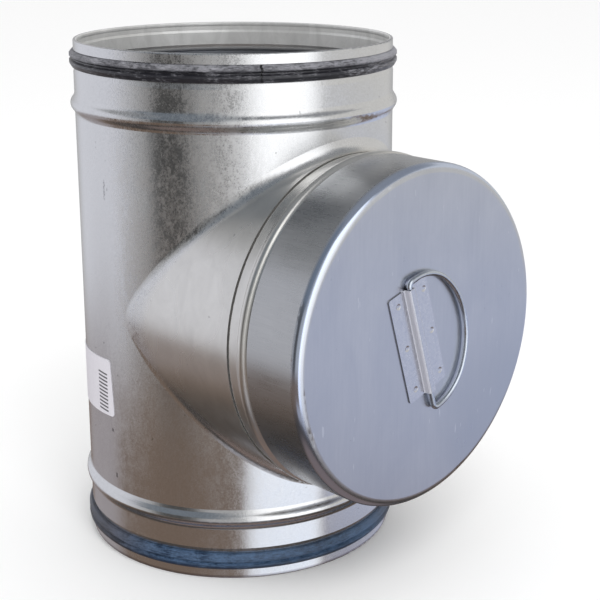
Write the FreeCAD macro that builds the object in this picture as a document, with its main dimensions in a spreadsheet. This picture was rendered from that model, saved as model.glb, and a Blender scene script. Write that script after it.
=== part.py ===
import FreeCAD, Part
import Sketcher
import math
import os

# Galvanised duct tee with a pull-off access cap on its branch.
# Frame: origin on the tube axis in the plane of the lower rim, +Z up the
# straight run, branch towards -Y, +X to the right when facing the cap.

doc = FreeCAD.newDocument("DuctTee")
V = FreeCAD.Vector
Rot = FreeCAD.Rotation

# ---------------------------------------------------------------- dimensions
DIMENSIONS = [
    ("sheet", 0.6, "gauge of the galvanised sheet"),
    ("run_radius", 99.5, "outer radius of the straight run, nominal 200 duct"),
    ("run_length", 320.0, "length over both rims"),
    ("hem_radius", 99.2, "outer radius of the folded hem at each rim"),
    ("hem_length", 6.0, "height of the folded hem"),
    ("hem_round", 0.9, "rounding of the fold at the rim"),
    ("seat_radius", 97.4, "outer radius of the sheet under the seal"),
    ("seat_end", 15.0, "where the seal seat ends, from the rim"),
    ("slot_inner", 97.5, "inner radius of the slot under the hem"),
    ("slot_outer", 98.6, "outer radius of the slot under the hem"),
    ("slot_start", 1.6, "bottom of the slot under the hem, from the rim"),
    ("shoulder_mid_radius", 98.8, "middle of the shoulder above the seal"),
    ("shoulder_mid", 16.8, "its distance from the rim"),
    ("shoulder_end", 20.0, "end of the shoulder, from the rim"),
    ("bead_centre", 39.0, "stop bead, from the rim"),
    ("bead_half", 6.5, "half width of the stop bead"),
    ("bead_height", 2.65, "height of the stop bead"),
    ("branch_height", 160.0, "branch axis above the lower rim"),
    ("neck_radius", 98.9, "outer radius of the drawn branch neck"),
    ("neck_blend", 9.0, "outer radius of the drawn corner"),
    ("neck_drawn", 112.0, "length of the neck as drawn, before it is trimmed"),
    ("neck_end", 99.8, "end of the plain neck, from the run's axis"),
    ("lap_start", 101.2, "start of the raised lap band"),
    ("lap_radius", 100.2, "outer radius of the lap band"),
    ("lap_end", 104.0, "edge of the lap band"),
    ("ring_radius", 99.45, "outer radius of the branch spigot"),
    ("ring_start", 101.6, "inner end of the branch spigot"),
    ("ring_bead", 115.9, "centre of its stop bead"),
    ("ring_bead_half", 5.0, "half width of its stop bead"),
    ("ring_bead_height", 2.5, "height of its stop bead"),
    ("ring_end", 156.5, "free end of the branch spigot"),
    ("seal_lip_radius", 101.75, "free radius of the seal lips"),
    ("seal_valley_radius", 100.2, "between the two lips"),
    ("seal_squeezed_radius", 100.1, "lips of the seal under the cap"),
    ("cap_radius", 101.0, "outer radius of the cap skirt"),
    ("cap_rim", 121.3, "open rim of the cap, from the run's axis"),
    ("cap_face", 160.7, "outer face of the cap"),
    ("cap_bend", 5.5, "outer radius of the cap's drawn edge"),
    ("wire_radius", 1.6, "handle wire"),
    ("handle_half", 42.2, "half length of the handle, between wire centres"),
    ("handle_depth", 39.6, "depth of the handle from hinge to bow"),
    ("handle_side_start", 5.0, "straight part of each side"),
    ("handle_side_radius", 31.0, "side arcs of the bow"),
    ("handle_corner", 3.0, "corners beside the hinge rod"),
    ("handle_gap", 0.5, "butt gap of the wire inside the clip"),
    ("handle_lift", 2.5, "wire centre above the cap face"),
    ("hinge_offset", -6.1, "hinge line to the right of the cap centre"),
    ("hinge_tilt", 16.8, "lean of the hinge line, degrees"),
    ("handle_slide", 2.4, "handle centre down the hinge line"),
    ("clip_gauge", 0.8, "thickness of the hinge clip"),
    ("clip_low", 36.2, "upper end of the clip, up the hinge line"),
    ("clip_high", 32.3, "lower end of the clip, down the hinge line"),
    ("clip_left", 16.1, "reach of the left flange from the hinge line"),
    ("clip_right", 16.1, "reach of the right flange from the hinge line"),
    ("spot_first", 6.8, "first row of weld spots, from the clip's upper end"),
    ("spot_pitch", 27.6, "between rows of weld spots"),
    ("spot_left", 9.6, "left weld spots from the hinge line"),
    ("spot_right", 12.4, "right weld spots from the hinge line"),
    ("spot_ball", 6.2, "radius of the electrode's tip"),
    ("spot_depth", 0.3, "depth of each weld dimple"),
    ("crimp_depth", 0.25, "groove pressed inside the rim under the fold"),
    ("crimp_start", 1.8, "its upper edge, from the rim"),
    ("crimp_end", 7.0, "its lower edge, from the rim"),
    ("clip_bore", 1.95, "half the inner width of the clip's channel"),
    ("clip_top", 1.75, "inner top of the channel above the wire's centre"),
    ("clip_shoulder", 0.7, "inner radius of the channel's shoulders"),
    ("clip_foot", 0.8, "inner radius where the channel meets a flange"),
    ("clip_round", 1.5, "rounding of the clip's corners"),
    ("label_width", 70.0, "paper label, around the run"),
    ("label_height", 36.5, "paper label, along the run"),
    ("label_corner", 2.5, "its corner radius"),
    ("label_gap", 0.05, "under the label"),
    ("label_gauge", 0.3, "thickness with its glue"),
    ("label_up", 108.5, "centre of the label above the lower rim"),
    ("label_around", 113.4, "its centre, degrees from the branch to the left"),
    ("label_tilt", 4.0, "its tilt, degrees"),
    ("seal_joint", 32.6, "butt joint of the seals, degrees to the left"),
    ("seal_joint_gap", 0.2, "width of the butt joint, degrees"),
]

sizes = doc.addObject("Spreadsheet::Sheet", "Sizes")
for row, (alias, value, note) in enumerate(DIMENSIONS, start=1):
    sizes.set("A%d" % row, alias)
    sizes.set("B%d" % row, repr(value))
    sizes.set("C%d" % row, note)
    sizes.setAlias("B%d" % row, alias)
doc.recompute()


class Size:
    """A length that knows both its value now and its formula on the sheet."""

    def __init__(self, text, value):
        self.text = text
        self.value = float(value)

    def _join(self, sign, other, value):
        return Size("(%s %s %s)" % (self.text, sign, other.text), value)

    def __add__(self, other):
        other = size(other)
        return self._join("+", other, self.value + other.value)

    def __sub__(self, other):
        other = size(other)
        return self._join("-", other, self.value - other.value)

    def __mul__(self, other):
        other = size(other)
        return self._join("*", other, self.value * other.value)

    def __truediv__(self, other):
        other = size(other)
        return self._join("/", other, self.value / other.value)

    def __rsub__(self, other):
        return size(other) - self

    __radd__ = __add__
    __rmul__ = __mul__

    def __neg__(self):
        return Size("(0 - %s)" % self.text, -self.value)


def size(x):
    return x if isinstance(x, Size) else Size(repr(float(x)), x)


def cell(alias):
    return Size("Sizes.%s" % alias, getattr(sizes, alias))


Z0 = size(0)


# ------------------------------------------------------------- sketch helpers
def plane(body, role):
    for feature in body.Origin.OriginFeatures:
        if feature.Role == role:
            return feature
    raise RuntimeError("no plane " + role)


def sketch_on(body, role, name):
    sk = body.newObject("Sketcher::SketchObject", name)
    sk.AttachmentSupport = [(plane(body, role), "")]
    sk.MapMode = "FlatFace"
    return sk


def pin(sk, geo, pos, x, y):
    """Hold one point at x, y from the sketch's origin."""
    if x.value == 0.0:
        sk.addConstraint(Sketcher.Constraint("PointOnObject", geo, pos, -2))
    else:
        i = sk.addConstraint(Sketcher.Constraint("DistanceX", -1, 1, geo, pos, x.value))
        sk.setExpression("Constraints[%d]" % i, x.text)
    if y.value == 0.0:
        sk.addConstraint(Sketcher.Constraint("PointOnObject", geo, pos, -1))
    else:
        i = sk.addConstraint(Sketcher.Constraint("DistanceY", -1, 1, geo, pos, y.value))
        sk.setExpression("Constraints[%d]" % i, y.text)


def trace(sk, points, closed=True):
    """Draw a chain of lines and arcs. Each point is (x, y) or, where an arc
    runs on to the next point, (x, y, radius, turn): turn +1 is to the left."""
    count = len(points)
    last = count if closed else count - 1
    ends = []
    for i in range(last):
        a, b = points[i], points[(i + 1) % count]
        ax, ay, bx, by = a[0].value, a[1].value, b[0].value, b[1].value
        if len(a) == 2:
            geo = sk.addGeometry(Part.LineSegment(V(ax, ay, 0), V(bx, by, 0)), False)
            ends.append((geo, 1, 2, None))
            continue
        r, turn = a[2].value, a[3]
        dx, dy = bx - ax, by - ay
        chord = math.hypot(dx, dy)
        reach = math.sqrt(max(r * r - chord * chord / 4.0, 0.0))
        cx = (ax + bx) / 2.0 - turn * dy / chord * reach
        cy = (ay + by) / 2.0 + turn * dx / chord * reach
        a0 = math.atan2(ay - cy, ax - cx)
        a1 = math.atan2(by - cy, bx - cx)
        if turn > 0:
            lo, hi, start, end = a0, a1, 1, 2
        else:
            lo, hi, start, end = a1, a0, 2, 1
        while hi <= lo:
            hi += 2.0 * math.pi
        geo = sk.addGeometry(Part.ArcOfCircle(Part.Circle(V(cx, cy, 0), V(0, 0, 1), r), lo, hi), False)
        ends.append((geo, start, end, a[2]))
    for i in range(last if closed else last - 1):
        g, h = ends[i], ends[(i + 1) % last]
        sk.addConstraint(Sketcher.Constraint("Coincident", g[0], g[2], h[0], h[1]))
    for i in range(last):
        pin(sk, ends[i][0], ends[i][1], points[i][0], points[i][1])
    if not closed:
        pin(sk, ends[-1][0], ends[-1][2], points[-1][0], points[-1][1])
    for geo, start, end, radius in ends:
        if radius is not None:
            i = sk.addConstraint(Sketcher.Constraint("Radius", geo, radius.value))
            sk.setExpression("Constraints[%d]" % i, radius.text)
    return [e[0] for e in ends]


def ring_of(sk, x, y, radius):
    geo = sk.addGeometry(Part.Circle(V(x.value, y.value, 0), V(0, 0, 1), radius.value), False)
    pin(sk, geo, 3, x, y)
    i = sk.addConstraint(Sketcher.Constraint("Radius", geo, radius.value))
    sk.setExpression("Constraints[%d]" % i, radius.text)
    return geo


def revolve(body, sk, kind, name, angle=None, axis="V_Axis"):
    rev = body.newObject("PartDesign::" + kind, name)
    rev.Profile = sk
    rev.ReferenceAxis = (sk, [axis])
    rev.Angle = 360.0
    if angle is not None:
        rev.setExpression("Angle", angle.text)
    return rev


def new_body(name):
    body = doc.addObject("PartDesign::Body", name)
    return body


def place(obj, position, rotation):
    """position: three Sizes; rotation: list of (axis letter, Size degrees)."""
    rot = Rot()
    text = "rotation(vector(0; 0; 1); 0)"
    for letter, angle in rotation:
        axis = {"x": V(1, 0, 0), "y": V(0, 1, 0), "z": V(0, 0, 1)}[letter]
        rot = rot.multiply(Rot(axis, angle.value))
        text += " * rotation(vector(%d; %d; %d); %s)" % (axis.x, axis.y, axis.z, angle.text)
    obj.Placement = FreeCAD.Placement(V(*[p.value for p in position]), rot)
    obj.setExpression("Placement", "placement(vector(%s; %s; %s); %s)" % (
        position[0].text, position[1].text, position[2].text, text))


# ------------------------------------------------------------ shared profiles
t = cell("sheet")
R = cell("run_radius")
L = cell("run_length")
zc = cell("branch_height")
hem_r, hem_l, hem_f = cell("hem_radius"), cell("hem_length"), cell("hem_round")
seat_r, seat_e = cell("seat_radius"), cell("seat_end")
sh_r, sh_m, sh_e = cell("shoulder_mid_radius"), cell("shoulder_mid"), cell("shoulder_end")
bore_r = seat_r - t          # inside of the sheet under the seal


def bead(radius, centre, half, height, off, up):
    """Five points of a stop bead: two flanks, each of two equal arcs. off is
    how far the line lies inside the outer skin; up is +1 or -1 along the
    tube."""
    both = (half * half + height * height) / (height * 2)
    arc = both / 2
    sin = half / both
    cos = 1 - height / both
    r0 = radius - off
    rm = radius + height / 2 - off * cos
    lead = half / 2 - off * sin
    s = lambda d: (centre - d) if up > 0 else (centre + d)
    e = lambda d: (centre + d) if up > 0 else (centre - d)
    turn = 1 if up > 0 else -1
    return [
        (r0, s(half), arc + off, -turn),
        (rm, s(lead), arc - off, turn),
        (radius + height - off, centre, arc - off, turn),
        (rm, e(lead), arc + off, -turn),
        (r0, e(half)),
    ]


def end_outer(up, at, bead_at, bead_half, bead_height, radius):
    """Outer skin of one spigot from its rim to past its bead."""
    s = (lambda d: at + d) if up > 0 else (lambda d: at - d)
    turn = 1 if up > 0 else -1
    pts = [
        (hem_r - hem_f, at, hem_f, turn),
        (hem_r, s(hem_f)),
        (hem_r, s(hem_l)),
        (seat_r, s(hem_l)),
        (seat_r, s(seat_e)),
        (sh_r, s(sh_m)),
        (radius, s(sh_e)),
    ]
    return pts + bead(radius, bead_at, bead_half, bead_height, Z0, up)


def end_inner(up, at, bead_at, bead_half, bead_height, radius):
    """Inner skin of one spigot, one sheet in."""
    s = (lambda d: at + d) if up > 0 else (lambda d: at - d)
    turn = 1 if up > 0 else -1
    pts = [
        (bore_r + hem_f, at, hem_f, -turn),
        (bore_r, s(hem_f)),
        (bore_r, s(cell("crimp_start"))),
        (bore_r + cell("crimp_depth"), s(cell("crimp_start") + 1)),
        (bore_r + cell("crimp_depth"), s(cell("crimp_end") - 1.6)),
        (bore_r, s(cell("crimp_end"))),
        (bore_r, s(seat_e + 0.2)),
        (sh_r - t, s(sh_m + 0.2)),
        (radius - t, s(sh_e + 0.1)),
    ]
    return pts + bead(radius, bead_at, bead_half, bead_height, t, up)


def flip(points):
    """The same chain walked the other way."""
    out = []
    for i in range(len(points) - 1, -1, -1):
        x, y = points[i][0], points[i][1]
        before = points[i - 1] if i > 0 else None
        if before is not None and len(before) == 4:
            out.append((x, y, before[2], -before[3]))
        else:
            out.append((x, y))
    return out


def slot_in(body, name, at, up):
    """The narrow slot under a folded hem that grips the seal's tail."""
    s = (lambda d: at + d) if up > 0 else (lambda d: at - d)
    a, b = cell("slot_inner"), cell("slot_outer")
    deep = cell("slot_start")
    sk = sketch_on(body, "XZ_Plane", name + "_sketch")
    trace(sk, [(a, s(deep)), (b, s(deep)), (b, s(hem_l + 0.5)), (a, s(hem_l + 0.5))])
    return revolve(body, sk, "Groove", name)


# ------------------------------------------------------------------ tee body
# One sheet-metal piece: the run, rolled and beaded at both ends, with the
# neck drawn out of its wall. Outer form less inner form, one gauge apart.
outer = new_body("tee_outer_form")
sk = sketch_on(outer, "XZ_Plane", "run_outer_sketch")
low = end_outer(1, Z0, cell("bead_centre"), cell("bead_half"), cell("bead_height"), R)
high = flip(end_outer(-1, L, L - cell("bead_centre"), cell("bead_half"), cell("bead_height"), R))
trace(sk, [(Z0, Z0)] + low + high + [(Z0, L)])
revolve(outer, sk, "Revolution", "run_outer")

neck = cell("neck_radius")
lap = cell("lap_radius")


def crotch_edges(shape, run_r, neck_r):
    names = []
    for i, edge in enumerate(shape.Edges, start=1):
        ok = True
        for k in range(7):
            p = edge.valueAt(edge.FirstParameter + (edge.LastParameter - edge.FirstParameter) * (k + 0.5) / 7.0)
            if abs(math.hypot(p.x, p.y) - run_r) > 0.02 or abs(math.hypot(p.x, p.z - zc.value) - neck_r) > 0.02 or p.y > 0:
                ok = False
                break
        if ok:
            names.append("Edge%d" % i)
    return names


def about_branch(body, kind, name, points):
    """A profile in the plane of both axes, turned about the branch axis."""
    sk = sketch_on(body, "YZ_Plane", name + "_sketch")
    trace(sk, points)
    axis_geo = sk.addGeometry(Part.LineSegment(V(-120, zc.value, 0), V(20, zc.value, 0)), True)
    pin(sk, axis_geo, 1, size(-120), zc)
    pin(sk, axis_geo, 2, size(20), zc)
    feature = revolve(body, sk, kind, name, axis="Axis0")
    doc.recompute()
    return feature


def draw_neck(body, side, run_r, neck_r, corner, lap_r, ramp, end):
    """Draw the neck out of the run's wall with a rounded corner, trim it
    square and swage its mouth up to the lap band. Above and below the branch
    the band runs straight out of the corner."""
    drawn = cell("neck_drawn")
    about_branch(body, "Revolution", "neck_" + side, [
        (Z0, zc), (Z0, zc + neck_r), (-drawn, zc + neck_r), (-drawn, zc)])
    tip = body.Tip
    edges = crotch_edges(tip.Shape, run_r.value, neck_r.value)
    if not edges:
        raise RuntimeError("no corner found, " + side)
    fillet = body.newObject("PartDesign::Fillet", "neck_corner_" + side)
    fillet.Base = (tip, edges)
    fillet.Radius = corner.value
    fillet.setExpression("Radius", corner.text)
    doc.recompute()
    print("corner", side, "edges", len(edges), "volume", round(tip.Shape.Volume), "->", round(fillet.Shape.Volume))
    whole = body.Shape.Volume
    about_branch(body, "Groove", "neck_trim_" + side, [
        (-end, zc), (-end, zc + drawn), (-(drawn + 2), zc + drawn), (-(drawn + 2), zc)])
    print("trimmed", side, round(whole - body.Shape.Volume))
    if whole - body.Shape.Volume < 1000:
        raise RuntimeError("the trim cut nothing, " + side)
    about_branch(body, "Revolution", "lap_band_" + side, [
        (-(cell("neck_end") - 3), zc), (-(cell("neck_end") - 3), zc + neck_r - 1), (-(cell("neck_end") + ramp), zc + neck_r),
        (-(cell("lap_start") + ramp), zc + lap_r), (-end, zc + lap_r), (-end, zc)])


draw_neck(outer, "outer", R, neck, cell("neck_blend"), lap, Z0, cell("lap_end"))
before = outer.Shape.Volume
slot_in(outer, "lower_hem_slot", Z0, 1)
slot_in(outer, "upper_hem_slot", L, -1)
doc.recompute()
print("hem slots cut", round(before - outer.Shape.Volume))
if before - outer.Shape.Volume < 1000:
    raise RuntimeError("the hem slots cut nothing")

inner = new_body("tee_inner_form")
sk = sketch_on(inner, "XZ_Plane", "run_inner_sketch")
low = end_inner(1, Z0, cell("bead_centre"), cell("bead_half"), cell("bead_height"), R)
high = flip(end_inner(-1, L, L - cell("bead_centre"), cell("bead_half"), cell("bead_height"), R))
trace(sk, [(Z0, size(-1)), (bore_r + hem_f, size(-1))] + low + high + [(bore_r + hem_f, L + 1), (Z0, L + 1)])
revolve(inner, sk, "Revolution", "run_inner")

draw_neck(inner, "inner", R - t, neck - t, cell("neck_blend") + t, lap - t, size(0.15), cell("lap_end") + 1)

tee = doc.addObject("Part::Cut", "tee_body")
tee.Base = outer
tee.Tool = inner

# ------------------------------------------------------- branch spigot (ring)
# Rolled separately, slipped into the lap band and fixed there; its own stop
# bead stands just outside the cap's rim. Built along +Z, turned to -Y.
ring = new_body("branch_spigot")
rs, re = cell("ring_start"), cell("ring_end")
rr = cell("ring_radius")
rb = (cell("ring_bead"), cell("ring_bead_half"), cell("ring_bead_height"))
sk = sketch_on(ring, "XZ_Plane", "ring_sketch")
skin_out = end_outer(-1, re, rb[0], rb[1], rb[2], rr)
skin_in = end_inner(-1, re, rb[0], rb[1], rb[2], rr)
trace(sk, skin_out + [(rr, rs), (rr - t, rs)] + flip(skin_in))
revolve(ring, sk, "Revolution", "ring")
slot_in(ring, "ring_hem_slot", re, -1)
turn_out = [("x", size(90))]
place(ring, (Z0, Z0, zc), turn_out)


# ------------------------------------------------------------------- rubbers
def seal(name, lip, valley, at, up, position, rotation, joint):
    """A rubber strip with two lips, its tail held under the hem, closed into
    a ring with a butt joint."""
    body = new_body(name)
    s = (lambda d: at + d) if up > 0 else (lambda d: at - d)
    tail_in, tail_out = cell("slot_inner") + 0.05, cell("slot_outer") - 0.05
    sk = sketch_on(body, "XZ_Plane", name + "_sketch")
    base = seat_r + 0.05
    edge_r = lip - 1.4
    points = [
        (base, s(hem_l + 0.2)), (tail_in, s(hem_l + 0.2)), (tail_in, s(cell("slot_start") + 0.2)),
        (tail_out, s(cell("slot_start") + 0.2)), (tail_out, s(hem_l + 0.2)),
        (hem_r - 0.2, s(hem_l + 0.2)), (edge_r, s(hem_l + 0.6)),
        (lip, s(size(8.2))), (lip, s(size(9.6))), (valley, s(size(10.8))), (valley, s(size(11.5))),
        (lip, s(size(12.3))), (lip, s(size(13.9))), (edge_r, s(size(16.3))), (sh_r + 0.15, s(size(16.75))),
        (base, s(seat_e - 0.1)),
    ]
    trace(sk, points)
    revolve(body, sk, "Revolution", name + "_ring", angle=size(360) - cell("seal_joint_gap"))
    place(body, position, rotation + [("z", joint)])
    return body


# the joint lies to the left of the branch: -X side of -Y
seal("top_gasket", cell("seal_lip_radius"), cell("seal_valley_radius"), L, -1, (Z0, Z0, Z0), [], size(-90) - cell("seal_joint"))
seal("bottom_gasket", cell("seal_lip_radius"), cell("seal_valley_radius"), Z0, 1, (Z0, Z0, Z0), [], size(130))
seal("branch_gasket", cell("seal_squeezed_radius"), cell("seal_squeezed_radius") - 0.5, re, -1, (Z0, Z0, zc), turn_out, size(60))

# ----------------------------------------------------------------- cap shell
# A shallow drawn cup pushed over the branch spigot up to its stop bead.
cap = new_body("cap_shell")
cr, cf, crim, cb = cell("cap_radius"), cell("cap_face"), cell("cap_rim"), cell("cap_bend")
sk = sketch_on(cap, "XZ_Plane", "cap_sketch")
trace(sk, [
    (Z0, cf - t), (cr - cb, cf - t, cb - t, -1), (cr - t, cf - cb), (cr - t, crim),
    (cr, crim), (cr, cf - cb, cb, 1), (cr - cb, cf), (Z0, cf),
])
revolve(cap, sk, "Revolution", "cap")
place(cap, (Z0, Z0, zc), turn_out)

# --------------------------------------------------------------- hinge clip
# A stamped strip with a channel down its middle and a welded flange on each
# side. Local X runs down the hinge line, Y to the right of it, Z outward.
tilt = size(-90) + cell("hinge_tilt")
rad = math.pi / 180.0
across = (Size("cos(%s)" % cell("hinge_tilt").text, math.cos(cell("hinge_tilt").value * rad)),
          Size("sin(%s)" % cell("hinge_tilt").text, math.sin(cell("hinge_tilt").value * rad)))
hx = cell("hinge_offset") * across[0]
hk = cell("hinge_offset") * across[1]
hinge_frame = [("x", size(90)), ("z", tilt)]

clip = new_body("clip_blank")
cg, bore, lift, foot = cell("clip_gauge"), cell("clip_bore"), cell("handle_lift"), cell("clip_foot")
left, right = cell("clip_left"), cell("clip_right")
sk = sketch_on(clip, "YZ_Plane", "clip_sketch")
face = cf
wide = bore + cg
ceiling = face + lift + cell("clip_top")
bend = cell("clip_shoulder")
trace(sk, [
    (-left, face), (-(wide + foot), face, foot + cg, 1), (-bore, face + cg + foot),
    (-bore, ceiling - bend, bend, -1), (-bore + bend, ceiling), (bore - bend, ceiling, bend, -1), (bore, ceiling - bend),
    (bore, face + cg + foot, foot + cg, 1),
    (wide + foot, face), (right, face), (right, face + cg),
    (wide + foot, face + cg, foot, -1), (wide, face + cg + foot), (wide, ceiling - bend, bend + cg, 1),
    (bore - bend, ceiling + cg), (-bore + bend, ceiling + cg, bend + cg, 1), (-wide, ceiling - bend),
    (-wide, face + cg + foot, foot, -1), (-(wide + foot), face + cg), (-left, face + cg),
])
pad = clip.newObject("PartDesign::Pad", "clip_strip")
pad.Profile = sk
pad.Length = 68.5
pad.setExpression("Length", (cell("clip_low") + cell("clip_high")).text)
pad.Midplane = False
doc.recompute()
tip = clip.Tip
corner_names = []
for i, edge in enumerate(tip.Shape.Edges, start=1):
    a, b = edge.Vertexes[0].Point, edge.Vertexes[-1].Point
    at_side = min(abs(a.y + left.value), abs(a.y - right.value)) < 1e-6
    if abs(a.x - b.x) < 1e-6 and abs(a.y - b.y) < 1e-6 and at_side and abs(a.z - b.z) > 0.5:
        corner_names.append("Edge%d" % i)
fillet = clip.newObject("PartDesign::Fillet", "clip_corners")
fillet.Base = (tip, corner_names)
fillet.Radius = 1.5
fillet.setExpression("Radius", cell("clip_round").text)
down = (Size("sin(%s)" % cell("hinge_tilt").text, across[1].value), Size("cos(%s)" % cell("hinge_tilt").text, across[0].value))
clip_at = (hx - cell("clip_low") * down[0], Z0, zc + hk + cell("clip_low") * down[1])
place(clip, clip_at, hinge_frame)
dimples = []
for row in range(3):
    for side, reach in ((-1, cell("spot_left")), (1, cell("spot_right"))):
        ball = doc.addObject("Part::Sphere", "weld_spot_%d_%s" % (row + 1, "left" if side < 0 else "right"))
        ball.setExpression("Radius", cell("spot_ball").text)
        along = cell("spot_first") + cell("spot_pitch") * row
        over = reach * side
        # a point at (along, over) of the clip's own frame, in the cap's plane
        bx = clip_at[0] + along * down[0] + over * across[0]
        bz = clip_at[2] - along * down[1] + over * across[1]
        by = -(face + cg + cell("spot_ball") - cell("spot_depth"))
        place(ball, (bx, by, bz), [])
        dimples.append(ball)
tips = doc.addObject("Part::MultiFuse", "weld_spots")
tips.Shapes = dimples
stamped = doc.addObject("Part::Cut", "handle_clip")
stamped.Base = clip
stamped.Tool = tips

# --------------------------------------------------------------- wire handle
# One wire bent into a D. Its straight rod lies in the clip's channel, where
# the two ends meet. Local frame as the clip's, at the middle of the rod.
bail = new_body("handle_bail")
hh, hd, hs = cell("handle_half"), cell("handle_depth"), cell("handle_side_start")
ra, rk = cell("handle_side_radius"), cell("handle_corner")
dx = hh - ra
rise = hd - hs
rc = (dx * dx + rise * rise - ra * ra) / ((rise - ra) * 2)    # touches both side arcs
dy = hd - rc - hs
gap = rc - ra
tx = dx / gap * rc
ty = (hd - rc) - dy / gap * rc
sk = sketch_on(bail, "XY_Plane", "handle_path")
path = trace(sk, [
    (cell("handle_gap") / 2, Z0), (hh - rk, Z0, rk, 1), (hh, rk), (hh, hs, ra, 1), (tx, ty, rc, 1), (-tx, ty, ra, 1),
    (-hh, hs), (-hh, rk, rk, 1), (-(hh - rk), Z0), (-(cell("handle_gap") / 2), Z0),
], closed=False)
disc = sketch_on(bail, "YZ_Plane", "handle_section")
disc.AttachmentOffset = FreeCAD.Placement(V(0, 0, cell("handle_gap").value / 2), Rot())
disc.setExpression("AttachmentOffset", "placement(vector(0; 0; Sizes.handle_gap / 2); rotation(vector(0; 0; 1); 0))")
ring_of(disc, Z0, Z0, cell("wire_radius"))
doc.recompute()
pipe = bail.newObject("PartDesign::AdditivePipe", "handle_wire")
pipe.Profile = disc
pipe.Spine = (sk, ["Edge%d" % (i + 1) for i in range(len(path))])
slide = cell("handle_slide")
place(bail, (hx + slide * down[0], -(cf + lift), zc + hk - slide * down[1]), hinge_frame)
doc.recompute()
length = sum(e.Length for e in sk.Shape.Edges)
wr = cell("wire_radius").value
print("handle wire: length", round(length, 1), "volume", round(bail.Shape.Volume, 1), "section x length", round(math.pi * wr * wr * length, 1))

# --------------------------------------------------------------- paper label
# A paper patch glued to the left of the run, cut from a thin tube.
sheet_out = doc.addObject("Part::Cylinder", "label_outside")
sheet_out.setExpression("Radius", (R + cell("label_gap") + cell("label_gauge")).text)
sheet_out.setExpression("Height", L.text)
sheet_in = doc.addObject("Part::Cylinder", "label_inside")
sheet_in.setExpression("Radius", (R + cell("label_gap")).text)
sheet_in.setExpression("Height", L.text)
tube = doc.addObject("Part::Cut", "label_tube")
tube.Base = sheet_out
tube.Tool = sheet_in
blank = new_body("label_outline")
sk = sketch_on(blank, "XY_Plane", "label_sketch")
lw, lh, lc = cell("label_width") / 2, cell("label_height") / 2, cell("label_corner")
trace(sk, [
    (-lw + lc, -lh), (lw - lc, -lh, lc, 1), (lw, -lh + lc), (lw, lh - lc, lc, 1), (lw - lc, lh),
    (-lw + lc, lh, lc, 1), (-lw, lh - lc), (-lw, -lh + lc, lc, 1),
])
pad = blank.newObject("PartDesign::Pad", "label_pad")
pad.Profile = sk
pad.Length = 120.0
# local Z points out of the wall, local Y up: turned upright, then round
place(blank, (Z0, Z0, cell("label_up")), [("z", -cell("label_around")), ("x", size(90)), ("z", cell("label_tilt"))])
label = doc.addObject("Part::Common", "paper_label")
label.Base = tube
label.Tool = blank

# ------------------------------------------------------------ check and write
doc.recompute()
SUB_PARTS = ["tee_body", "branch_spigot", "top_gasket", "bottom_gasket", "branch_gasket",
             "cap_shell", "handle_clip", "handle_bail", "paper_label"]
for obj in doc.Objects:
    if "Invalid" in obj.State or "Error" in obj.State:
        raise RuntimeError("%s failed: %s" % (obj.Name, obj.State))
for name in SUB_PARTS:
    obj = doc.getObject(name)
    obj.Label = name
    shape = obj.Shape
    if shape.isNull() or not shape.isValid() or not shape.Solids:
        raise RuntimeError("%s has no valid shape" % name)
    box = shape.BoundBox
    print("%-14s solids %d volume %9.1f x %7.2f..%7.2f y %7.2f..%7.2f z %7.2f..%7.2f" % (
        name, len(shape.Solids), shape.Volume, box.XMin, box.XMax, box.YMin, box.YMax, box.ZMin, box.ZMax))

os.makedirs("parts", exist_ok=True)
for name in SUB_PARTS:
    doc.getObject(name).Shape.exportStep("parts/%s.step" % name)
print("written")
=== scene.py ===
import math

import bmesh
import bpy
from mathutils import Matrix, Vector

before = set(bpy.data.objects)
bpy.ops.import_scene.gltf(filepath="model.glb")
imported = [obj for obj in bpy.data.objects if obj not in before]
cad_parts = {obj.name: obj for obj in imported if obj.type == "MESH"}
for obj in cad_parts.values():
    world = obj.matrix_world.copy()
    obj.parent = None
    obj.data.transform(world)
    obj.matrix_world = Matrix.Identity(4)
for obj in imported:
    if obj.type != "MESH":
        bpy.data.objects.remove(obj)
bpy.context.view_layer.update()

scene = bpy.context.scene
scene.view_settings.view_transform = "Standard"
scene.view_settings.look = "None"
AXIS_Z = 0.160          # branch axis above the lower rim
RUN_R = 0.0995

# ------------------------------------------------------------ camera
cam_data = bpy.data.cameras.new("camera")
cam_data.lens = 79.520779
cam_data.sensor_width = 36.0
cam_data.shift_x = -0.0616458
cam_data.shift_y = -0.1001155
cam_data.clip_start = 0.01
cam_data.clip_end = 50.0
cam = bpy.data.objects.new("camera", cam_data)
scene.collection.objects.link(cam)
right = Vector((0.700153, -0.713987, 0.002921))
up = Vector((0.176362, 0.176906, 0.968298))
ahead = Vector((0.691869, 0.677441, -0.249782))
turn = Matrix((right, up, -ahead)).transposed()
cam.matrix_world = Matrix.Translation((-0.550073, -0.629092, 0.403519)) @ turn.to_4x4()
scene.camera = cam


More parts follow.
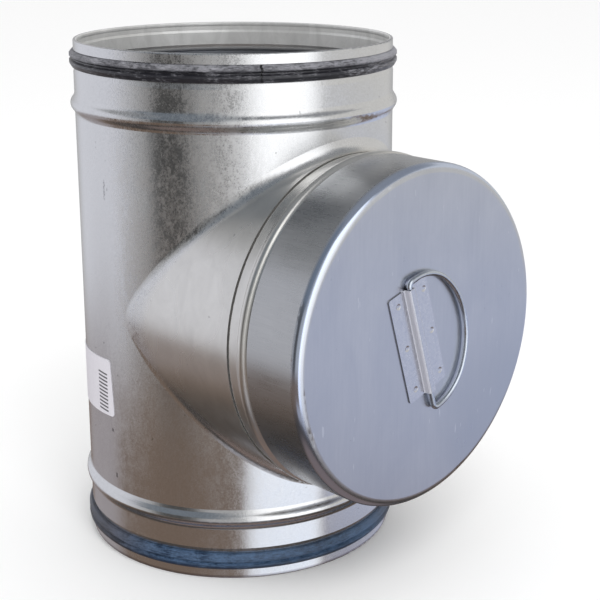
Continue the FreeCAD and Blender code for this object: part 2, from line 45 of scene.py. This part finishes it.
# ------------------------------------------------------------ node helpers
class Net:
    """Short calls for building a node tree."""

    def __init__(self, tree):
        self.tree = tree
        self.nodes = tree.nodes
        self.links = tree.links

    def put(self, socket, value):
        if isinstance(value, bpy.types.NodeSocket):
            self.links.new(value, socket)
        elif value is not None:
            socket.default_value = value

    def math(self, op, a, b=None, c=None, clamp=False):
        n = self.nodes.new("ShaderNodeMath")
        n.operation = op
        n.use_clamp = clamp
        self.put(n.inputs[0], a)
        if b is not None:
            self.put(n.inputs[1], b)
        if c is not None:
            self.put(n.inputs[2], c)
        return n.outputs[0]

    def vec(self, op, a, b=None, scale=None):
        n = self.nodes.new("ShaderNodeVectorMath")
        n.operation = op
        self.put(n.inputs[0], a)
        if b is not None:
            self.put(n.inputs[1], b)
        if scale is not None:
            self.put(n.inputs["Scale"], scale)
        return n.outputs["Value"] if op in ("LENGTH", "DOT_PRODUCT", "DISTANCE") else n.outputs[0]

    def split(self, v):
        n = self.nodes.new("ShaderNodeSeparateXYZ")
        self.put(n.inputs[0], v)
        return n.outputs

    def join(self, x, y, z):
        n = self.nodes.new("ShaderNodeCombineXYZ")
        self.put(n.inputs[0], x)
        self.put(n.inputs[1], y)
        self.put(n.inputs[2], z)
        return n.outputs[0]

    def step(self, value, low, high, to_low=0.0, to_high=1.0):
        n = self.nodes.new("ShaderNodeMapRange")
        n.interpolation_type = "SMOOTHSTEP"
        self.put(n.inputs["Value"], value)
        n.inputs["From Min"].default_value = low
        n.inputs["From Max"].default_value = high
        n.inputs["To Min"].default_value = to_low
        n.inputs["To Max"].default_value = to_high
        return n.outputs[0]

    def line(self, value, low, high, to_low=0.0, to_high=1.0):
        n = self.nodes.new("ShaderNodeMapRange")
        self.put(n.inputs["Value"], value)
        n.inputs["From Min"].default_value = low
        n.inputs["From Max"].default_value = high
        n.inputs["To Min"].default_value = to_low
        n.inputs["To Max"].default_value = to_high
        return n.outputs[0]

    def noise(self, where, scale, detail=3.0, rough=0.55, distort=0.0):
        n = self.nodes.new("ShaderNodeTexNoise")
        self.put(n.inputs["Vector"], where)
        n.inputs["Scale"].default_value = scale
        n.inputs["Detail"].default_value = detail
        n.inputs["Roughness"].default_value = rough
        n.inputs["Distortion"].default_value = distort
        return n.outputs[0]

    def cells(self, where, scale, feature="F1", random=1.0):
        n = self.nodes.new("ShaderNodeTexVoronoi")
        n.feature = feature
        self.put(n.inputs["Vector"], where)
        n.inputs["Scale"].default_value = scale
        n.inputs["Randomness"].default_value = random
        return n.outputs

    def mix(self, factor, a, b):
        n = self.nodes.new("ShaderNodeMix")
        n.data_type = "RGBA"
        self.put(n.inputs[0], factor)
        self.put(n.inputs[6], a)
        self.put(n.inputs[7], b)
        return n.outputs[2]

    def blend(self, factor, a, b):
        n = self.nodes.new("ShaderNodeMix")
        n.data_type = "FLOAT"
        self.put(n.inputs[0], factor)
        self.put(n.inputs[2], a)
        self.put(n.inputs[3], b)
        return n.outputs[0]

    def bump(self, height, strength, distance, normal=None):
        n = self.nodes.new("ShaderNodeBump")
        n.inputs["Strength"].default_value = strength
        n.inputs["Distance"].default_value = distance
        self.put(n.inputs["Height"], height)
        if normal is not None:
            self.put(n.inputs["Normal"], normal)
        return n.outputs[0]

    def place(self):
        return self.nodes.new("ShaderNodeTexCoord").outputs["Object"]


def grey(v, a=1.0):
    return (v, v, v, a)


def material(name):
    m = bpy.data.materials.new(name)
    m.use_nodes = True
    tree = m.node_tree
    tree.nodes.clear()
    out = tree.nodes.new("ShaderNodeOutputMaterial")
    shader = tree.nodes.new("ShaderNodeBsdfPrincipled")
    tree.links.new(shader.outputs[0], out.inputs[0])
    return m, Net(tree), shader


def dress(node, mat):
    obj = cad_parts[node]
    obj.data.materials.clear()
    obj.data.materials.append(mat)
    for poly in obj.data.polygons:
        poly.material_index = 0


# ------------------------------------------------------------ galvanised sheet
def around(n, x, y):
    """Angle about the run's axis, degrees, from the branch towards -X."""
    return n.math("MULTIPLY", n.math("ARCTAN2", n.math("MULTIPLY", x, -1.0), n.math("MULTIPLY", y, -1.0)), 180.0 / math.pi)


def near(n, value, centre, half, soft):
    """1 within half of the centre, 0 beyond half + soft."""
    return n.step(n.math("ABSOLUTE", n.math("SUBTRACT", value, centre)), half, half + soft, 1.0, 0.0)


def sheet(name, seam=None):
    """Sheet of the tee: scuffed zinc, frosted in blotches, smooth on the drawn
    neck, matt inside the run; one band of the run has a painted dark
    reflection, and the run's inside below the top band has painted shade."""
    m, n, s = material(name)
    p = n.place()
    x, y, z = n.split(p)
    r = n.vec("LENGTH", n.join(x, y, 0.0))
    long = n.vec("MULTIPLY", p, (1.0, 1.0, 0.60))
    fine = n.noise(p, 950.0, 3.0, 0.65)
    grain = n.noise(long, 380.0, 4.0, 0.70, 0.5)
    cloud = n.noise(long, 75.0, 5.0, 0.68, 0.8)
    patch = n.noise(long, 13.0, 3.0, 0.55, 0.3)
    neck = n.math("MULTIPLY", n.step(r, 0.1002, 0.1040), near(n, z, 0.160, 0.108, 0.006))
    out = n.nodes.new("ShaderNodeNewGeometry").outputs["Normal"]
    turned = n.vec("DOT_PRODUCT", out, n.vec("NORMALIZE", n.join(x, y, 0.0)))
    inner = n.math("MULTIPLY", n.step(turned, -0.25, -0.05, 1.0, 0.0), n.step(r, 0.1010, 0.1020, 1.0, 0.0))
    inside = n.math("MULTIPLY", inner, n.step(z, 0.3000, 0.3030))
    # inner wall below z 0.300, painted darker as shade deep in the run
    deep_painted_shade = n.math("SUBTRACT", inner, inside, clamp=True)
    phi = around(n, x, y)
    # a band of the run that is more frosted (real roughness) and whose clear parts get a darker base colour, a
    # painted dark reflection
    frosted_with_painted_dark = n.math("MULTIPLY", near(n, phi, 60.0, 20.0, 12.0), n.step(z, 0.10, 0.17))
    blot = n.math("ADD", n.math("ADD", n.math("MULTIPLY", grain, 0.40), n.math("MULTIPLY", fine, 0.35)),
                  n.math("ADD", n.math("MULTIPLY", cloud, 0.40), n.math("MULTIPLY", patch, 0.15)))
    frost = n.step(blot, 0.54, 0.76)
    amount = n.blend(neck, n.math("MULTIPLY", n.blend(frosted_with_painted_dark, 0.34, 1.0), n.step(patch, 0.30, 0.62, 0.60, 1.0)), 0.22)
    frost = n.math("MULTIPLY", frost, amount)
    clear = n.mix(n.math("MULTIPLY", n.line(fine, 0.32, 0.68, 1.0, 0.0), n.blend(frosted_with_painted_dark, 0.22, 0.85)),
                  (0.78, 0.785, 0.795, 1), (0.50, 0.50, 0.505, 1))
    base = n.mix(frost, clear, (0.86, 0.86, 0.86, 1))
    base = n.mix(neck, base, n.mix(n.line(cloud, 0.3, 0.7), (0.75, 0.737, 0.71, 1), (0.845, 0.832, 0.80, 1)))
    # rubbed marks and specks
    speck = n.noise(p, 260.0, 2.0, 0.5)
    dirt = n.math("MULTIPLY", n.step(speck, 0.73, 0.77), 0.55)
    scratch = n.math("MULTIPLY", n.math("MULTIPLY", near(n, phi, 92.9, 0.25, 0.5), near(n, z, 0.236, 0.004, 0.003)),
                     n.step(fine, 0.42, 0.55))
    dots = n.math("ADD", n.math("MULTIPLY", near(n, phi, 93.6, 0.3, 0.5), near(n, z, 0.0836, 0.0006, 0.0008)),
                  n.math("MULTIPLY", near(n, phi, 92.2, 0.3, 0.5), near(n, z, 0.0542, 0.0010, 0.0010)))
    dark = n.math("ADD", n.math("ADD", dirt, scratch), dots, clamp=True)
    base = n.mix(n.math("MULTIPLY", dark, 0.7), base, (0.20, 0.20, 0.21, 1))
    base = n.mix(inside, base, n.mix(n.line(cloud, 0.3, 0.7), (0.66, 0.66, 0.65, 1), (0.84, 0.84, 0.83, 1)))
    # painted shade: darker bluish base colour on the run's inner wall below the top band
    base = n.mix(deep_painted_shade, base, (0.42, 0.44, 0.48, 1))
    foot = n.step(z, 0.0012, 0.0024, 1.0, 0.0)
    base = n.mix(n.math("MULTIPLY", foot, 0.55), base, (0.22, 0.20, 0.23, 1))
    rough = n.blend(frost, n.line(patch, 0.3, 0.7, 0.14, 0.20), 0.44)
    rough = n.blend(neck, rough, n.line(patch, 0.3, 0.7, 0.25, 0.31))
    rough = n.blend(inner, rough, 0.34)
    metal = n.blend(inside, 1.0, 0.45)
    if seam is not None:
        edge = n.math("ADD", y, n.math("MULTIPLY", n.math("SUBTRACT", grain, 0.5), 0.0008))
        gap = near(n, edge, seam[0], seam[1], 0.0004)
        base = n.mix(n.math("MULTIPLY", gap, 0.95), base, (0.025, 0.023, 0.022, 1))
        rough = n.blend(gap, rough, 0.8)
        metal = n.blend(gap, metal, 0.0)
    n.put(s.inputs["Base Color"], base)
    n.put(s.inputs["Roughness"], rough)
    n.put(s.inputs["Metallic"], metal)
    n.put(s.inputs["Normal"], n.bump(n.math("ADD", n.math("MULTIPLY", grain, 0.6), n.math("MULTIPLY", fine, 0.4)), 0.10, 0.0003))
    return m


def cap_sheet(name):
    """Sheet of the cap: duller, brushed along the skirt and up the face."""
    m, n, s = material(name)
    p = n.place()
    x, y, z = n.split(p)
    face = n.step(y, -0.1603, -0.1596, 1.0, 0.0)
    skirt_line = n.noise(n.vec("MULTIPLY", p, (1.0, 0.06, 1.0)), 900.0, 3.0, 0.6)
    face_line = n.noise(n.vec("MULTIPLY", p, (1.0, 1.0, 0.05)), 700.0, 3.0, 0.6)
    cloud = n.noise(n.vec("MULTIPLY", p, (1.0, 1.0, 0.5)), 30.0, 5.0, 0.62, 0.5)
    speck = n.noise(p, 420.0, 2.0, 0.5)
    line = n.blend(face, skirt_line, n.blend(0.62, face_line, 0.5))
    tone = n.math("ADD", n.math("MULTIPLY", n.math("SUBTRACT", line, 0.5), 0.8),
                  n.math("MULTIPLY", n.math("SUBTRACT", cloud, 0.5), 0.9))
    t = n.math("ADD", 0.5, tone, clamp=True)
    # painted light and shade: the skirt gets a darker base colour than the face as painted shade on the cap's side,
    # and the face a paler bluer one as painted light
    skirt = n.mix(t, (0.44, 0.45, 0.46, 1), (0.615, 0.62, 0.63, 1))
    plate = n.mix(t, (0.53, 0.55, 0.60, 1), (0.745, 0.76, 0.80, 1))
    shade = n.vec("DISTANCE", n.join(x, 0.0, z), (0.070, 0.0, 0.100))
    plate = n.mix(n.step(shade, 0.020, 0.075, 0.55, 0.0), plate, (0.51, 0.54, 0.60, 1))
    # painted highlight: a pale bluish band on the skirt next to the face's bend
    skirt = n.mix(n.step(y, -0.1580, -0.1545, 1.0, 0.0), skirt, (0.69, 0.765, 0.93, 1))
    base = n.mix(face, skirt, plate)
    # fine pale scratches on the face
    nick = n.noise(n.vec("MULTIPLY", n.vec("ADD", p, (0.011, 0.0, 0.02)), (1.0, 1.0, 0.22)), 330.0, 2.0, 0.5)
    mark = n.math("MULTIPLY", n.step(nick, 0.705, 0.745), face)
    base = n.mix(n.math("MULTIPLY", mark, 0.6), base, (0.86, 0.87, 0.89, 1))
    base = n.mix(n.math("MULTIPLY", n.step(speck, 0.76, 0.80), 0.25), base, (0.30, 0.31, 0.33, 1))
    n.put(s.inputs["Base Color"], base)
    s.inputs["Metallic"].default_value = 1.0
    sheen = n.line(n.math("ADD", n.math("MULTIPLY", cloud, 0.5), n.math("MULTIPLY", line, 0.5)), 0.3, 0.7)
    bend = n.math("MULTIPLY", n.step(y, -0.1580, -0.1545, 1.0, 0.0), n.math("SUBTRACT", 1.0, face))
    rough = n.blend(face, n.blend(sheen, 0.24, 0.33), n.blend(sheen, 0.25, 0.34))
    n.put(s.inputs["Roughness"], n.blend(bend, rough, 0.17))
    return m


def plain_metal(name, dark, light, low, high, painted_ridge_and_edges=False):
    """Plain zinc. With painted_ridge_and_edges, where the sheet turns off the cap's face it is matt with a painted
    pale highlight on the ridge and painted dark shade on the edges.
    """
    m, n, s = material(name)
    p = n.place()
    grain = n.noise(p, 500.0, 3.0, 0.6)
    base = n.mix(n.line(grain, 0.3, 0.7), dark + (1.0,), light + (1.0,))
    rough = n.line(grain, 0.3, 0.7, low, high)
    s.inputs["Metallic"].default_value = 1.0
    if painted_ridge_and_edges:
        out = n.nodes.new("ShaderNodeNewGeometry").outputs["Normal"]
        off = n.vec("DOT_PRODUCT", n.vec("SUBTRACT", p, (-0.005146, 0.0, 0.155939)), (0.957, 0.0, 0.289))
        middle = n.step(n.math("ABSOLUTE", off), 0.0045, 0.0050, 1.0, 0.0)
        side = n.math("MULTIPLY", n.step(n.split(out)[1], -0.93, -0.75), middle)
        edge = n.math("MULTIPLY", n.step(n.split(out)[1], -0.60, -0.30), n.math("SUBTRACT", 1.0, middle))
        # painted highlight on the ridge flanks, painted shade on the turned edges
        base = n.mix(side, base, (0.62, 0.625, 0.70, 1))
        base = n.mix(edge, base, (0.31, 0.315, 0.35, 1))
        rough = n.blend(side, rough, 0.45)
        n.put(s.inputs["Metallic"], n.blend(side, 1.0, 0.35))
    n.put(s.inputs["Base Color"], base)
    n.put(s.inputs["Roughness"], rough)
    return m


# ------------------------------------------------------------ rubber
def rubber(name, dark, pale, lip, dusty, blue_reflection=None):
    """Seal rubber with dust on it, thickest on the lip above the height lip.
    With blue_reflection, a painted bluish reflection lies on the side below the branch only."""
    m, n, s = material(name)
    p = n.place()
    x, y, z = n.split(p)
    flow = n.vec("MULTIPLY", p, (1.0, 1.0, 2.2))
    dust = n.noise(flow, 60.0, 6.0, 0.7, 0.8)
    speck = n.noise(flow, 800.0, 3.0, 0.65)
    streak = n.noise(n.vec("MULTIPLY", p, (1.0, 1.0, 6.0)), 210.0, 3.0, 0.6)
    upper = n.step(z, lip - 0.0012, lip + 0.0012)
    cover = n.math("ADD", n.math("MULTIPLY", dust, 0.40), n.math("ADD", n.math("MULTIPLY", speck, 0.25), n.math("MULTIPLY", streak, 0.35)))
    cover = n.math("ADD", cover, n.step(x, -0.03, 0.05, 0.0, 0.09))
    mask = n.blend(upper, n.step(cover, 0.50, 0.70), n.step(cover, 0.36, 0.62))
    base = n.mix(n.math("MULTIPLY", mask, dusty), dark + (1.0,), pale + (1.0,))
    # the ragged butt joint
    phi = around(n, x, y)
    frayed = n.math("ADD", phi, n.math("MULTIPLY", n.math("SUBTRACT", n.noise(p, 420.0, 3.0, 0.6), 0.5), 3.2))
    joint = near(n, frayed, 32.6, 0.25, 0.25)
    if blue_reflection is None:
        base = n.mix(joint, base, (0.008, 0.008, 0.010, 1))
    if blue_reflection is not None:
        # painted reflection: bluish colour on the side below the branch
        blue = n.mix(mask, blue_reflection[0] + (1.0,), blue_reflection[1] + (1.0,))
        base = n.mix(near(n, phi, 30.0, 38.0, 30.0), base, blue)
    n.put(s.inputs["Base Color"], base)
    n.put(s.inputs["Roughness"], n.blend(mask, 0.28, 0.60))
    n.put(s.inputs["Normal"], n.bump(streak, 0.25, 0.0003))
    s.inputs["Metallic"].default_value = 0.0
    return m


# ------------------------------------------------------------ paper
def paper(name):
    """Plain paper with one strip of short, even bars and nothing else."""
    m, n, s = material(name)
    p = n.place()
    x, y, z = n.split(p)
    phi = around(n, x, y)
    fibre = n.noise(p, 900.0, 3.0, 0.6)
    base = n.mix(fibre, (0.60, 0.58, 0.63, 1), (0.72, 0.70, 0.75, 1))
    strip = n.math("MULTIPLY", near(n, phi, BARS[0], BARS[1], 0.08), near(n, z, BARS[2], BARS[3], 0.0001))
    beat = n.math("FRACT", n.math("MULTIPLY", z, 1.0 / 0.0024))
    bars = n.step(n.math("ABSOLUTE", n.math("SUBTRACT", beat, 0.5)), 0.20, 0.26, 1.0, 0.0)
    n.put(s.inputs["Base Color"], n.mix(n.math("MULTIPLY", strip, n.math("MULTIPLY", bars, 0.92)), base, (0.03, 0.03, 0.035, 1)))
    s.inputs["Roughness"].default_value = 0.45
    n.put(s.inputs["Normal"], n.bump(fibre, 0.1, 0.0002))
    return m


BARS = (99.0, 3.2, 0.1065, 0.0135)     # angle, half width, height, half height
dress("tee_body", sheet("zinc_sheet"))
dress("branch_spigot", sheet("zinc_ring", (-0.1045, 0.0004)))
dress("cap_shell", cap_sheet("zinc_cap"))
dress("handle_clip", plain_metal("clip_steel", (0.66, 0.665, 0.70), (0.78, 0.785, 0.81), 0.20, 0.28, True))
dress("handle_bail", plain_metal("wire_steel", (0.57, 0.615, 0.69), (0.67, 0.72, 0.80), 0.16, 0.24))
grey_rubber = rubber("seal_rubber", (0.016, 0.016, 0.021), (0.30, 0.30, 0.33), 0.3107, 0.9)
rubber_painted_blue = rubber("seal_rubber_painted_blue", (0.014, 0.015, 0.021), (0.10, 0.11, 0.15), 0.0093, 0.8,
                     ((0.008, 0.022, 0.052), (0.075, 0.135, 0.24)))
dress("top_gasket", grey_rubber)
dress("branch_gasket", grey_rubber)
dress("bottom_gasket", rubber_painted_blue)
dress("paper_label", paper("label_paper"))


# ------------------------------------------------------------ floor and light
def floor():
    mesh = bpy.data.meshes.new("floor")
    mesh.from_pydata([(-12, -12, 0), (12, -12, 0), (12, 12, 0), (-12, 12, 0)], [], [(0, 1, 2, 3)])
    obj = bpy.data.objects.new("floor", mesh)
    scene.collection.objects.link(obj)
    m, n, s = material("floor_white")
    s.inputs["Base Color"].default_value = (0.96, 0.96, 0.96, 1)
    s.inputs["Roughness"].default_value = 0.9
    s.inputs["Specular IOR Level"].default_value = 0.1
    mesh.materials.append(m)
    obj.visible_glossy = False
    return obj


floor()

world = bpy.data.worlds.new("studio")
scene.world = world
world.use_nodes = True
tree = world.node_tree
tree.nodes.clear()
w = Net(tree)
out = tree.nodes.new("ShaderNodeOutputWorld")
plain = tree.nodes.new("ShaderNodeBackground")
plain.inputs["Color"].default_value = (1, 1, 1, 1)
plain.inputs["Strength"].default_value = 1.0
room = tree.nodes.new("ShaderNodeBackground")
room.inputs["Strength"].default_value = 1.0
d = tree.nodes.new("ShaderNodeTexCoord").outputs["Generated"]
dx, dy, dz = w.split(d)
level = w.vec("NORMALIZE", w.join(dx, dy, 0.0))


def heading(az):
    a = math.radians(az)
    return (math.sin(a), -math.cos(a), 0.0)


def panel(colour_in, az, half, soft, low, high, fade, colour):
    """One soft panel of the room: centred on a heading, with soft sides."""
    c = w.vec("DOT_PRODUCT", level, heading(az))
    inside = w.step(c, math.cos(math.radians(min(half + soft, 179.9))), math.cos(math.radians(max(half - soft, 0.0))))
    bottom = w.step(dz, math.sin(math.radians(low - fade)), math.sin(math.radians(low + fade)))
    top = w.step(dz, math.sin(math.radians(high - fade)), math.sin(math.radians(min(high + fade, 90))), 1.0, 0.0)
    mask = w.math("MULTIPLY", inside, w.math("MULTIPLY", bottom, top))
    return w.mix(mask, colour_in, colour + (1.0,))


# ceiling, then walls by height
col = w.mix(w.step(dz, 0.25, 0.80), (0.46, 0.46, 0.465, 1), (0.26, 0.27, 0.285, 1))
# floor of the room, warm
col = w.mix(w.step(dz, -0.36, -0.27), (0.188, 0.138, 0.108, 1), col)
# left wall, light, and the lit floor before it
col = panel(col, -158, 34, 12, -19.3, 28, 3.5, (0.71, 0.72, 0.775))
col = panel(col, -172, 24, 10, -33, -18, 4, (0.36, 0.33, 0.34))
# grey wall between the dark corner and the window
col = panel(col, -56, 16, 6, -18, 45, 5, (0.42, 0.42, 0.42))
# right wall, warm above and cool below
col = panel(col, 66, 42, 8, -12, 35, 4, (0.66, 0.65, 0.63))
col = panel(col, 66, 42, 8, -28, -12, 4, (0.55, 0.60, 0.76))
# dark corner, and the bluish wall above it
col = panel(col, -88, 32, 14, 16, 75, 5, (0.17, 0.195, 0.225))
col = panel(col, -88, 14, 9, -19, 20, 5, (0.078, 0.077, 0.075))
col = panel(col, -80, 26, 12, -90, -19, 3, (0.125, 0.09, 0.07))
# window in front
col = panel(col, -8, 26, 8, -34, 50, 4, (1.40, 1.41, 1.42))
col = panel(col, -8, 26, 8, -34, -19, 4, (1.00, 1.06, 1.18))
# the floor right under the part
col = w.mix(w.step(dz, -0.72, -0.56), (0.07, 0.063, 0.06, 1), col)
# the pale ground before the part
col = panel(col, -45, 28, 12, -44, -34, 3, (0.42, 0.42, 0.46))
# and the warm floor straight below
col = w.mix(w.step(dz, -0.90, -0.78), (0.215, 0.165, 0.15, 1), col)
w.put(room.inputs["Color"], col)
mixer = tree.nodes.new("ShaderNodeMixShader")
path = tree.nodes.new("ShaderNodeLightPath")
tree.links.new(path.outputs["Is Glossy Ray"], mixer.inputs[0])
tree.links.new(plain.outputs[0], mixer.inputs[1])
tree.links.new(room.outputs[0], mixer.inputs[2])
tree.links.new(mixer.outputs[0], out.inputs[0])


def lamp(name, kind, where, at, energy, size, colour=(1, 1, 1)):
    data = bpy.data.lights.new(name, kind)
    data.energy = energy
    data.color = colour
    if kind == "AREA":
        data.shape = "DISK"
        data.size = size
    obj = bpy.data.objects.new(name, data)
    scene.collection.objects.link(obj)
    obj.location = where
    obj.rotation_mode = "QUATERNION"
    obj.rotation_quaternion = (Vector(at) - Vector(where)).to_track_quat("-Z", "Y")
    obj.visible_glossy = False
    return obj


lamp("key", "AREA", (-0.8, -1.6, 2.2), (0, 0, 0.1), 20.0, 1.2)
